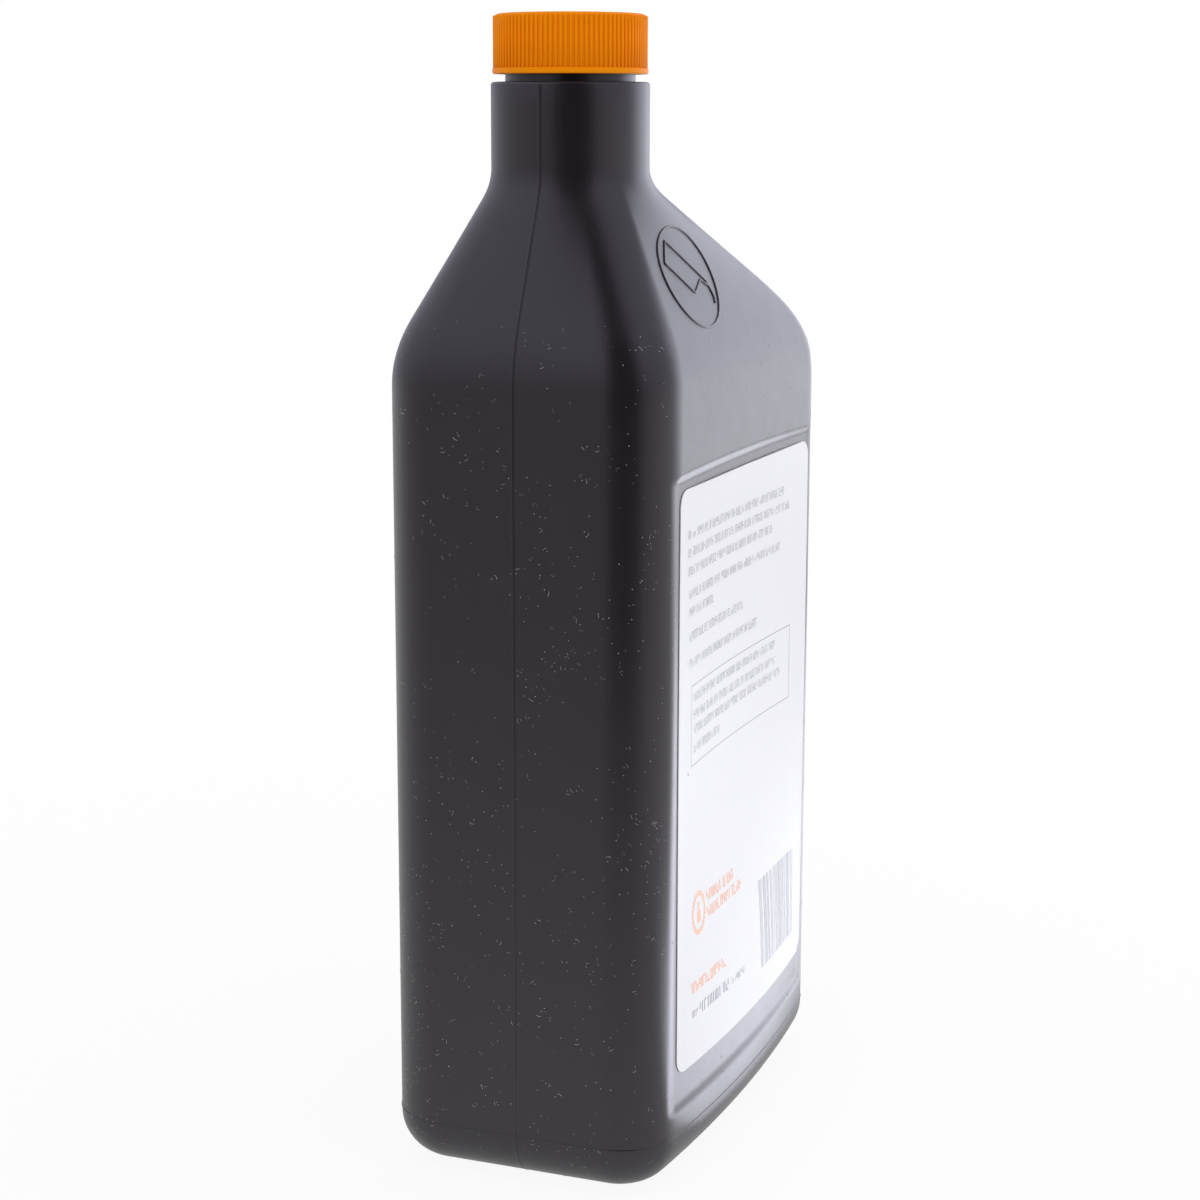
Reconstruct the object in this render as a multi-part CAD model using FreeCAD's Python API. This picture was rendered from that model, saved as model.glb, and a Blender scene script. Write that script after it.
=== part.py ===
import FreeCAD, Part
import math
import os
from FreeCAD import Vector

# Motor oil bottle of one quart: blow moulded body, screw cap, cap liner and back label.
# Millimetres, +Z up, origin on the standing plane under the middle of the body.
# The label face looks towards -Y and the neck stands off centre towards -X.

# Body
body_width = 107.2
body_depth = 59.6
corner_radius = 12.3
base_radius = 9.5
wall = 1.1
base_wall = 1.6

# Push-up under the base
push_rise = 2.2
push_margin = 4.0
push_slope = 5.0

# Flat faces: fuller at the foot, slightly hollow at the waist
foot_bow = 1.9
foot_bow_top = 24.0
waist_hollow = 1.5
waist_height = 88.0
waist_top = 112.0
bow_end = 158.0

# Label panel, a shallow step on both wide faces
panel_depth = 0.7
panel_bottom = 15.6
panel_top = 142.4
panel_step = 2.4
panel_arch = 0.8
panel_turn = 68.0

# Shoulder
shoulder_bottom = 165.4
shoulder_rise = 32.2
near_softness = 6.5
far_softness = 12.0
top_softness = 3.0
lean_start = 0.15
lean_end = 0.85
ring_side = 28.0
ring_corner = 62.0

# Collar and neck finish
neck_margin = 29.2
collar_radius = 15.5
collar_height = 19.3
collar_rim = 0.6
collar_wall = 1.5
collar_inside_round = 1.6
inside_drop = 0.8
inside_drop_run = 20.0
finish_radius = 12.7
bore_radius = 10.9
finish_height = 10.7
finish_rim = 0.4
finish_root = 0.5

# Thread, shared by neck and cap
thread_pitch = 4.23
thread_height = 0.95
thread_root = 2.1
thread_tip = 1.0
thread_turns = 1.2
thread_low = 3.9
thread_embed = 0.3
thread_runout = 0.09
thread_end = 0.04

# Cap
cap_gap = 1.5
cap_band_radius = 15.2
cap_band_height = 1.15
cap_rib_radius = 15.05
cap_rib_depth = 0.42
cap_rib_count = 96
cap_rib_share = 0.5
cap_plate = 1.3
cap_edge = 0.45
cap_wall_clearance = 0.3
cap_thread_height = 0.85
cap_thread_root = 1.9
cap_thread_tip = 0.9
cap_thread_turns = 1.0
cap_thread_phase = 0.36
cap_thread_play = 0.05

# Liner disc
liner_thickness = 0.9
liner_clearance = 0.35

# Back label
label_width = 85.0
label_shift = 2.0
label_margin_low = 6.0
label_margin_high = 2.2
label_thickness = 0.15
label_seat = 0.02
label_corner = 3.5

# Derived sizes
half_width = body_width / 2
half_depth = body_depth / 2
neck_offset = neck_margin - half_width
shoulder_top = shoulder_bottom + shoulder_rise
collar_top = shoulder_top + collar_height
mouth_height = collar_top + finish_height
cap_bottom = collar_top + cap_gap
cap_top = mouth_height + liner_thickness + cap_plate
cap_ceiling = mouth_height + liner_thickness
thread_radius = finish_radius + thread_height
cap_bore = thread_radius + cap_wall_clearance
liner_radius = cap_bore - liner_clearance
label_bottom = panel_bottom + label_margin_low
label_top = panel_top - label_margin_high

# Steps of curved stretches and heights of the rows between two outlines
base_steps = 4
rim_steps = 2
thread_steps = 12
flat_row = 16.0
curved_row = 4.9
step_row = 1.6
inside_stretch = 2.2


def bend(z, low, high, soft_low, soft_high):
    """Return 0 below low and 1 above high, straight between, eased over the given lengths."""
    slope = 1.0 / (high - low)
    value = min(1.0, max(0.0, (z - low) * slope))
    if abs(z - low) < soft_low:
        value = slope * (z - low + soft_low) ** 2 / (4.0 * soft_low)
    if abs(z - high) < soft_high:
        value = 1.0 - slope * (high + soft_high - z) ** 2 / (4.0 * soft_high)
    return value


def ease(t):
    """Return a smooth step between 0 and 1."""
    t = min(1.0, max(0.0, t))
    return t * t * (3.0 - 2.0 * t)


def bow_at(z):
    """Return how far the middle of a wide face stands out of the flat at height z."""
    fall = ease((z - foot_bow_top) / (waist_height - foot_bow_top))
    rise = ease((z - waist_top) / (bow_end - waist_top))
    return foot_bow * (1.0 - fall) - waist_hollow * fall * (1.0 - rise)


def panel_at(x, z):
    """Return how deep the label panel is set back at one place of a wide face."""
    arch = panel_arch * (1.0 - (x / half_width) ** 2)
    low = ease((z - panel_bottom) / panel_step + 0.5)
    high = ease((panel_top + arch - z) / panel_step + 0.5)
    return panel_depth * low * high


def wide_face(x, z, inset):
    """Return the distance of a wide face from the middle plane below the shoulder."""
    straight = half_width - corner_radius
    bow = bow_at(z) * (1.0 - (x / straight) ** 2)
    return half_depth - inset + bow - panel_at(x, z)


def arc_handle(degrees):
    """Return the length of the handles that let a cubic curve follow an arc of radius 1."""
    return 4.0 / 3.0 * math.tan(math.radians(degrees) / 4.0)


def block_poles(z, inset):
    """Return the poles of the upright body on the label side, as pairs of x and |y|."""
    radius = corner_radius - inset
    straight_x = half_width - corner_radius
    straight_y = half_depth - corner_radius
    side = half_width - inset
    start, near, far, end = [wide_face(straight_x * share, z, inset) for share in (-1, -1 / 3, 1 / 3, 1)]
    near_pole = (18.0 * near - 9.0 * far - 5.0 * start + 2.0 * end) / 6.0
    far_pole = (18.0 * far - 9.0 * near - 5.0 * end + 2.0 * start) / 6.0
    out = math.cos(math.radians(panel_turn))
    along = math.sin(math.radians(panel_turn))
    edge_x = straight_x + radius * out
    edge_y = straight_y + radius * along
    long = radius * arc_handle(panel_turn)
    short = radius * arc_handle(90.0 - panel_turn)
    corner = [(side, straight_y / 3), (side, straight_y), (side, straight_y + long),
              (edge_x + long * along, edge_y - long * out), (edge_x, edge_y),
              (edge_x - short * along, edge_y + short * out)]
    half = [(-x, y) for x, y in corner] + [(-straight_x - short, start), (-straight_x, start)]
    half += [(-straight_x / 3, near_pole), (straight_x / 3, far_pole)]
    return half + [(straight_x, end), (straight_x + short, end)] + corner[::-1]


def ring_poles(inset):
    """Return the poles of the round collar on the label side, in the order of the body's."""
    radius = collar_radius - inset
    turn = ring_side + (ring_corner - ring_side) * panel_turn / 90.0
    stops = [ring_side, turn, ring_corner, 180.0 - ring_corner, 180.0 - turn, 180.0 - ring_side]
    spans = [high - low for low, high in zip([-ring_side] + stops, stops + [180.0 + ring_side])]
    poles = []
    for stop, before, after in zip(stops, spans, spans[1:]):
        out_x = -radius * math.cos(math.radians(stop))
        out_y = radius * math.sin(math.radians(stop))
        for handle in (-arc_handle(before), 0.0, arc_handle(after)):
            poles.append((neck_offset + out_x + out_y * handle, out_y - out_x * handle))
    return poles


def in_line(poles):
    """Return the poles with each corner's handles turned in line with the patches beside it."""
    turned = list(poles)
    for face, joint, corner in ((0, 1, 2), (3, 4, 5), (8, 7, 6), (9, 10, 11), (14, 13, 12), (17, 16, 15)):
        along = (poles[joint] - poles[face]).normalize()
        turned[corner] = poles[joint] + along * (poles[corner] - poles[joint]).Length
    return turned


def body_outline(z, inset, level):
    """Return the poles of the closed outline at height z, drawn as it is at the given level."""
    near = bend(level, shoulder_bottom, shoulder_top, near_softness, top_softness)
    far = bend(level, shoulder_bottom, shoulder_top, far_softness, top_softness)
    half = []
    for block, ring in zip(block_poles(level, inset), ring_poles(inset)):
        place = (block[0] + half_width) / body_width
        weight = ease((place - lean_start) / (lean_end - lean_start))
        along = near * (1.0 - weight) + far * weight
        x = block[0] * (1.0 - along) + ring[0] * along
        half.append(Vector(x, -block[1] * (1.0 - near) - ring[1] * near, z))
    half = in_line(half)
    return half + [Vector(point.x, -point.y, z) for point in reversed(half)]


def patches(low, high):
    """Return the patches ruled between two outlines: flats, corners, panel edges and wide faces."""
    faces = []
    for start in range(1, len(low), 3):
        places = [(start + step) % len(low) for step in range(4)]
        patch = Part.BSplineSurface()
        patch.buildFromPolesMultsKnots([[low[place], high[place]] for place in places],
                                       [4, 4], [2, 2], [0.0, 1.0], [0.0, 1.0], False, False, 3, 1)
        faces.append(patch.toShape())
    return faces


def end_face(outline):
    """Return the flat face inside one outline."""
    edges = []
    for start in range(1, len(outline), 3):
        curve = Part.BezierCurve()
        curve.setPoles([outline[(start + step) % len(outline)] for step in range(4)])
        edges.append(curve.toShape())
    return Part.Face(Part.Wire(edges))


def solid_through(outlines):
    """Return the solid whose side is ruled from each outline to the next one above it."""
    faces = [end_face(outlines[0]), end_face(outlines[-1])]
    for low, high in zip(outlines, outlines[1:]):
        faces += patches(low, high)
    shell = Part.makeShell(faces)
    shell.sewShape()
    return Part.makeSolid(shell)


def spread(start, end, row):
    """Return even heights from start to just before end, no further apart than one row."""
    count = math.ceil((end - start) / row)
    return [start + (end - start) * step / count for step in range(count)]


def upright_levels(stretch):
    """Return the heights of the outlines above the base rounding, in rows stretched by a factor."""
    step_low = panel_bottom - panel_step / 2
    step_high = panel_top - panel_step / 2
    step_end = panel_top + panel_arch + panel_step / 2
    bend_low = shoulder_bottom - far_softness
    bend_high = shoulder_top - top_softness
    collar_low = shoulder_top + top_softness
    levels = spread(base_radius, step_low, flat_row * stretch)
    levels += spread(step_low, step_low + panel_step, step_row * stretch)
    levels += spread(step_low + panel_step, step_high, flat_row * stretch)
    levels += spread(step_high, step_end, step_row * stretch)
    levels += spread(step_end, bend_low, flat_row * stretch)
    levels += spread(bend_low, bend_high, curved_row * stretch)
    levels += spread(bend_high, collar_low, step_row * stretch)
    levels += spread(collar_low, collar_top - collar_wall - collar_inside_round, flat_row * stretch)
    return levels


def rounded_end(top, round_radius, inset):
    """Return the outlines that close a skin at the given height with a rounded edge."""
    outlines = []
    for step in range(rim_steps + 1):
        angle = step / rim_steps * math.pi / 2
        height = top - round_radius * (1.0 - math.sin(angle))
        outlines.append(body_outline(height, inset + round_radius * (1.0 - math.cos(angle)), height))
    return outlines


def outer_body(growth=0.0):
    """Return the solid outside form up to the top of the collar, larger by the growth."""
    outlines = []
    for step in range(base_steps):
        angle = step / base_steps * math.pi / 2
        height = base_radius * (1.0 - math.cos(angle))
        inset = base_radius * (1.0 - math.sin(angle))
        outlines.append(body_outline(height, inset - growth, height))
    for height in upright_levels(1.0):
        outlines.append(body_outline(height, -growth, height))
    outlines += rounded_end(collar_top, collar_rim, -growth)
    return solid_through(outlines)


def inner_body():
    """Return the solid form of the space in the body, up to the foot of the finish."""
    outlines = []
    radius = base_radius - base_wall
    for step in range(base_steps):
        angle = step / base_steps * math.pi / 2
        height = base_radius - radius * math.cos(angle)
        inset = base_radius - (base_radius - wall) * math.sin(angle)
        outlines.append(body_outline(height, inset, height))
    for height in upright_levels(inside_stretch):
        share = ease((height - shoulder_bottom + inside_drop_run) / inside_drop_run)
        thick = ease((height - shoulder_top + top_softness) / (2.0 * top_softness))
        inset = wall + (collar_wall - wall) * thick
        outlines.append(body_outline(height, inset, height + inside_drop * share))
    outlines += rounded_end(collar_top - collar_wall, collar_inside_round, collar_wall)
    return solid_through(outlines)


def rounded_frame(width, depth, radius, z):
    """Return a flat rounded rectangle centred on the origin at height z."""
    x = width / 2
    y = depth / 2
    turn = radius * (1.0 - math.sqrt(0.5))
    edges = []
    for side_x, side_y in ((1, 1), (-1, 1), (-1, -1), (1, -1)):
        middle = Vector(side_x * (x - turn), side_y * (y - turn), z)
        flat = Vector(side_x * x, side_y * (y - radius), z)
        long = Vector(side_x * (x - radius), side_y * y, z)
        ends = (flat, long) if side_x * side_y > 0 else (long, flat)
        edges.append((ends, Part.Arc(ends[0], middle, ends[1]).toShape()))
    wire = []
    for place, (ends, arc) in enumerate(edges):
        wire += [arc, Part.makeLine(ends[1], edges[(place + 1) % 4][0][0])]
    return Part.Wire(wire)


def push_up(growth, low):
    """Return the raised pad under the base, larger by the growth, from the height low."""
    width = body_width - 2.0 * (base_radius + push_margin)
    depth = body_depth - 2.0 * (base_radius + push_margin)
    top = push_rise + growth
    lean = push_slope * (top - low) / push_rise
    wide = rounded_frame(width + 2.0 * growth, depth + 2.0 * growth, push_margin + push_slope, low)
    slim = rounded_frame(width + 2.0 * (growth - lean), depth + 2.0 * (growth - lean),
                         push_margin + push_slope - lean, top)
    return Part.makeLoft([wide, slim], True, True)


def ring_section(radius_low, radius_high, z_low, z_high):
    """Return a disc or cone on the neck axis between two heights."""
    if radius_low == radius_high:
        return Part.makeCylinder(radius_low, z_high - z_low, Vector(neck_offset, 0, z_low))
    return Part.makeCone(radius_low, radius_high, z_high - z_low, Vector(neck_offset, 0, z_low))


def thread_ridge(root, height, root_width, tip_width, start_angle, start_height, turns):
    """Return a helical ridge on the neck axis; a negative height makes it point inwards."""
    sections = []
    count = int(turns * thread_steps)
    for step in range(count + 1):
        share = step / count
        angle = start_angle + 2.0 * math.pi * turns * share
        z = start_height + thread_pitch * turns * share
        fade = min(1.0, max(thread_end, min(share, 1.0 - share) / thread_runout))
        inward = root - math.copysign(thread_embed, height)
        outward = root + height * fade
        wide = root_width / 2 * (0.5 + 0.5 * fade)
        slim = tip_width / 2 * (0.5 + 0.5 * fade)
        corners = [(inward, -wide), (outward, -slim), (outward, slim), (inward, wide)]
        points = []
        for radius, lift in corners:
            x = neck_offset + radius * math.cos(angle)
            points.append(Vector(x, radius * math.sin(angle), z + lift))
        sections.append(Part.makePolygon(points + [points[0]]))
    return Part.makeLoft(sections, True)


def make_bottle():
    """Return the hollow bottle with its neck finish, thread, open mouth and push-up."""
    body = outer_body()
    finish = ring_section(finish_radius, finish_radius, collar_top - finish_root, mouth_height)
    rim_edges = [e for e in finish.Edges if e.BoundBox.ZMin > collar_top]
    finish = finish.makeChamfer(finish_rim, rim_edges)
    body = body.fuse(finish)
    bore_foot = collar_top - collar_wall - collar_inside_round
    bore = ring_section(bore_radius, bore_radius, bore_foot, mouth_height + finish_rim)
    body = body.cut(push_up(0.0, 0.0))
    body = body.cut(inner_body().cut(push_up(base_wall, 0.0)))
    body = body.cut(bore)
    thread = thread_ridge(finish_radius, thread_height, thread_root, thread_tip,
                          0.0, collar_top + thread_low, thread_turns)
    return body.fuse(thread)


def rib_profile():
    """Return the toothed outline of the ribbed cap wall at the foot of the ribs."""
    points = []
    pitch = 2.0 * math.pi / cap_rib_count
    for rib in range(cap_rib_count):
        for share, depth in ((0.0, 0.0), (cap_rib_share, 0.0), ((1.0 + cap_rib_share) / 2, cap_rib_depth)):
            angle = pitch * (rib + share)
            radius = cap_rib_radius - depth
            x = neck_offset + radius * math.cos(angle)
            points.append(Vector(x, radius * math.sin(angle), cap_bottom + cap_band_height))
    return Part.Face(Part.makePolygon(points + [points[0]]))


def make_cap():
    """Return the cap: ribbed wall, smooth bottom band, plate, hollow inside and thread."""
    ribs_top = cap_top - cap_edge
    cap = rib_profile().extrude(Vector(0, 0, ribs_top - cap_bottom - cap_band_height))
    plate_radius = cap_rib_radius - cap_rib_depth
    cap = cap.fuse(ring_section(plate_radius, plate_radius - cap_edge, ribs_top, cap_top))
    cap = cap.fuse(ring_section(cap_band_radius, cap_band_radius, cap_bottom, cap_bottom + cap_band_height))
    cap = cap.cut(ring_section(cap_bore, cap_bore, cap_bottom - cap_gap, cap_ceiling))
    start = 2.0 * math.pi * cap_thread_phase
    drop = thread_pitch * (0.5 - cap_thread_phase) + cap_thread_play
    low = collar_top + thread_low - drop
    thread = thread_ridge(cap_bore, -cap_thread_height, cap_thread_root, cap_thread_tip,
                          start, low, cap_thread_turns)
    return cap.fuse(thread)


def make_liner():
    """Return the liner disc between the mouth and the cap plate."""
    return ring_section(liner_radius, liner_radius, mouth_height, cap_ceiling)


def make_label():
    """Return the back label, a thin film that follows the label panel."""
    height = label_top - label_bottom
    corner = Vector(label_shift - label_width / 2, -body_depth, label_bottom)
    blank = Part.makeBox(label_width, body_depth, height, corner)
    corners = [e for e in blank.Edges if e.BoundBox.YLength > label_corner]
    blank = blank.makeFillet(label_corner, corners)
    film = blank.common(outer_body(label_seat + label_thickness))
    return film.cut(outer_body(label_seat))


def export(shape, name):
    """Write one part as a STEP file."""
    shape.exportStep("parts/" + name + ".step")


os.makedirs("parts", exist_ok=True)
export(make_bottle(), "bottle")
export(make_cap(), "cap")
export(make_liner(), "cap_liner")
export(make_label(), "back_label")
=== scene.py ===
"""Looks of a one quart motor oil bottle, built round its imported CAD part.

Sizes are in millimetres and turned to metres where a mesh is made. +Z is up, the label
looks towards -Y and the neck stands off centre towards -X.
"""

from __future__ import annotations

import logging
import math
from dataclasses import dataclass, field
from enum import Enum
from typing import Any

import bpy
import numpy as np
from mathutils import Matrix, Vector

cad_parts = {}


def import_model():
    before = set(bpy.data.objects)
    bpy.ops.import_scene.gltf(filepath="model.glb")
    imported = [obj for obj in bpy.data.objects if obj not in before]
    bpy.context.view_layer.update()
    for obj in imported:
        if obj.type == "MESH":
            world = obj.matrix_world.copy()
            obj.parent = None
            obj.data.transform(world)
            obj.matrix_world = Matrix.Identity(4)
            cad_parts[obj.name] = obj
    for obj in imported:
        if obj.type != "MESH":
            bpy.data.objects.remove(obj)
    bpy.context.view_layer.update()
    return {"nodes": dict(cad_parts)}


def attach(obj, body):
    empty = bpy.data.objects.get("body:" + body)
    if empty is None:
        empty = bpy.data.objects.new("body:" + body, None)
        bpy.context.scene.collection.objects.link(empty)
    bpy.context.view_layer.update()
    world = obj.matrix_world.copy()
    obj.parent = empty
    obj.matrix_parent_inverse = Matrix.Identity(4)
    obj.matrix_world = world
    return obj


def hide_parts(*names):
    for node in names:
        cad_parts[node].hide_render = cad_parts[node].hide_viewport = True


MM = 0.001
log = logging.getLogger("oil_bottle")


def linear(hex_colour: str) -> tuple[float, float, float, float]:
    """Turn an sRGB colour into the linear one that shaders take.

    Args:
        hex_colour: six hex digits, such as "F4F4F2".

    Returns:
        Linear red, green, blue and an alpha of 1.
    """
    channels = []
    for start in (0, 2, 4):
        value = int(hex_colour[start:start + 2], 16) / 255
        channels.append(value / 12.92 if value <= 0.04045 else ((value + 0.055) / 1.055) ** 2.4)
    return channels[0], channels[1], channels[2], 1.0


def add_node(tree: bpy.types.NodeTree, kind: str, settings: dict[Any, Any] | None = None,
             links: dict[Any, bpy.types.NodeSocket] | None = None) -> bpy.types.Node:
    """Add one node with its settings and links.

    Args:
        tree: the node tree that gets the node.
        kind: Blender's name for the kind of node.
        settings: values by name; a lower-case name is a property, any other key an input.
        links: sockets of other nodes by the input that they feed.

    Returns:
        The new node.
    """
    node = tree.nodes.new(kind)
    for key, value in (settings or {}).items():
        if isinstance(key, str) and key.islower():
            setattr(node, key, value)
        else:
            node.inputs[key].default_value = value
    for key, socket in (links or {}).items():
        tree.links.new(socket, node.inputs[key])
    return node


def arc_handle(degrees: float) -> float:
    """Return the handle length that lets a cubic curve follow an arc of radius 1."""
    return 4.0 / 3.0 * math.tan(math.radians(degrees) / 4.0)


def in_line(poles: np.ndarray) -> np.ndarray:
    """Return the poles with each corner's handles turned in line with the patches beside it."""
    turned = poles.copy()
    for face, joint, corner in ((0, 1, 2), (3, 4, 5), (8, 7, 6), (9, 10, 11), (14, 13, 12), (17, 16, 15)):
        along = poles[joint] - poles[face]
        length = np.linalg.norm(poles[corner] - poles[joint])
        turned[corner] = poles[joint] + along / np.linalg.norm(along) * length
    return turned


def ease(share: float) -> float:
    """Return a smooth step between 0 and 1."""
    share = min(1.0, max(0.0, share))
    return share * share * (3.0 - 2.0 * share)


def grid_mesh(name: str, rows: list[np.ndarray], start_pole: bool = False,
              end_pole: bool = False) -> bpy.types.Mesh:
    """Skin closed rows of points, given in millimetres, into one mesh.

    Args:
        name: name of the mesh.
        rows: arrays of the same number of points, anticlockwise seen from the end.
        start_pole: whether the first row is closed by a fan to its middle.
        end_pole: whether the last row is closed by a fan to its middle.

    Returns:
        The mesh in metres.
    """
    around = len(rows[0])
    points = [row * MM for row in rows]
    faces = []
    for low in range(len(rows) - 1):
        for place in range(around):
            following = (place + 1) % around
            first = low * around
            second = first + around
            faces.append((first + place, first + following, second + following, second + place))
    total = len(rows) * around
    if start_pole:
        points.append(points[0].mean(axis=0, keepdims=True))
        faces += [(total, (place + 1) % around, place) for place in range(around)]
        total += 1
    if end_pole:
        last = (len(rows) - 1) * around
        points.append(points[len(rows) - 1].mean(axis=0, keepdims=True))
        faces += [(last + place, last + (place + 1) % around, total) for place in range(around)]
    mesh = bpy.data.meshes.new(name)
    mesh.from_pydata(np.concatenate(points).tolist(), [], faces)
    mesh.update()
    return mesh


def joined_mesh(name: str, meshes: list[bpy.types.Mesh]) -> bpy.types.Mesh:
    """Put several meshes into one and drop the single ones.

    Args:
        name: name of the new mesh.
        meshes: meshes in the same frame.

    Returns:
        One mesh with all their faces.
    """
    points: list[tuple[float, float, float]] = []
    faces: list[list[int]] = []
    for mesh in meshes:
        first = len(points)
        points += [tuple(vertex.co) for vertex in mesh.vertices]
        faces += [[first + index for index in polygon.vertices] for polygon in mesh.polygons]
        bpy.data.meshes.remove(mesh)
    whole = bpy.data.meshes.new(name)
    whole.from_pydata(points, [], faces)
    whole.update()
    return whole


def place_object(name: str, mesh: bpy.types.Mesh, material: bpy.types.Material | None = None,
                 crease: float = 35.0) -> bpy.types.Object:
    """Make a smooth shaded object of a mesh.

    Args:
        name: name of the piece.
        mesh: its mesh in metres, in the part's frame.
        material: the finish of the whole piece, or None to keep the mesh's own.
        crease: angle in degrees above which an edge stays sharp.

    Returns:
        The new object, at the origin.
    """
    item = bpy.data.objects.new(name, mesh)
    bpy.context.scene.collection.objects.link(item)
    if material:
        mesh.materials.clear()
        mesh.materials.append(material)
    mesh.shade_smooth()
    mesh.set_sharp_from_angle(angle=math.radians(crease))
    return item


def new_geometry_tree(name: str, sizes: dict[str, str]) -> tuple[bpy.types.NodeTree, bpy.types.Node]:
    """Start a Geometry Nodes tree with named inputs.

    Args:
        name: name of the tree.
        sizes: kind of socket by the name of the input.

    Returns:
        The tree and its group input node.
    """
    tree = bpy.data.node_groups.new(name, "GeometryNodeTree")
    tree.interface.new_socket("Geometry", in_out="INPUT", socket_type="NodeSocketGeometry")
    for label, kind in sizes.items():
        tree.interface.new_socket(label, in_out="INPUT", socket_type=kind)
    tree.interface.new_socket("Geometry", in_out="OUTPUT", socket_type="NodeSocketGeometry")
    return tree, add_node(tree, "NodeGroupInput")


def close_geometry_tree(tree: bpy.types.NodeTree, geometry: bpy.types.NodeSocket,
                        material: bpy.types.NodeSocket) -> None:
    """End a tree in Realize Instances and Set Material.

    Args:
        tree: the tree.
        geometry: the socket with the finished geometry.
        material: the group input's socket that names the finish.
    """
    real = add_node(tree, "GeometryNodeRealizeInstances", links={"Geometry": geometry})
    dressed = add_node(tree, "GeometryNodeSetMaterial",
                       links={"Geometry": real.outputs[0], "Material": material})
    add_node(tree, "NodeGroupOutput", links={"Geometry": dressed.outputs[0]})


def run_geometry_tree(name: str, seed_mesh: bpy.types.Mesh, tree: bpy.types.NodeTree,
                      values: dict[str, Any]) -> bpy.types.Object:
    """Run a tree on a mesh and keep its result as a plain mesh.

    Args:
        name: name of the piece.
        seed_mesh: the mesh that the tree starts from.
        tree: the tree.
        values: the tree's inputs by name.

    Returns:
        The object with the result and no modifier.
    """
    item = bpy.data.objects.new(name, seed_mesh)
    bpy.context.scene.collection.objects.link(item)
    modifier = item.modifiers.new(tree.name, "NODES")
    modifier.node_group = tree
    for socket in tree.interface.items_tree:
        if socket.in_out == "INPUT" and socket.name in values:
            modifier[socket.identifier] = values[socket.name]
    graph = bpy.context.evaluated_depsgraph_get()
    result = bpy.data.meshes.new_from_object(item.evaluated_get(graph), depsgraph=graph)
    item.modifiers.clear()
    item.data = result
    result.name = name
    return item


class End(Enum):
    """The two narrow ends of the body."""

    NEAR = -1
    FAR = 1


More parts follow.
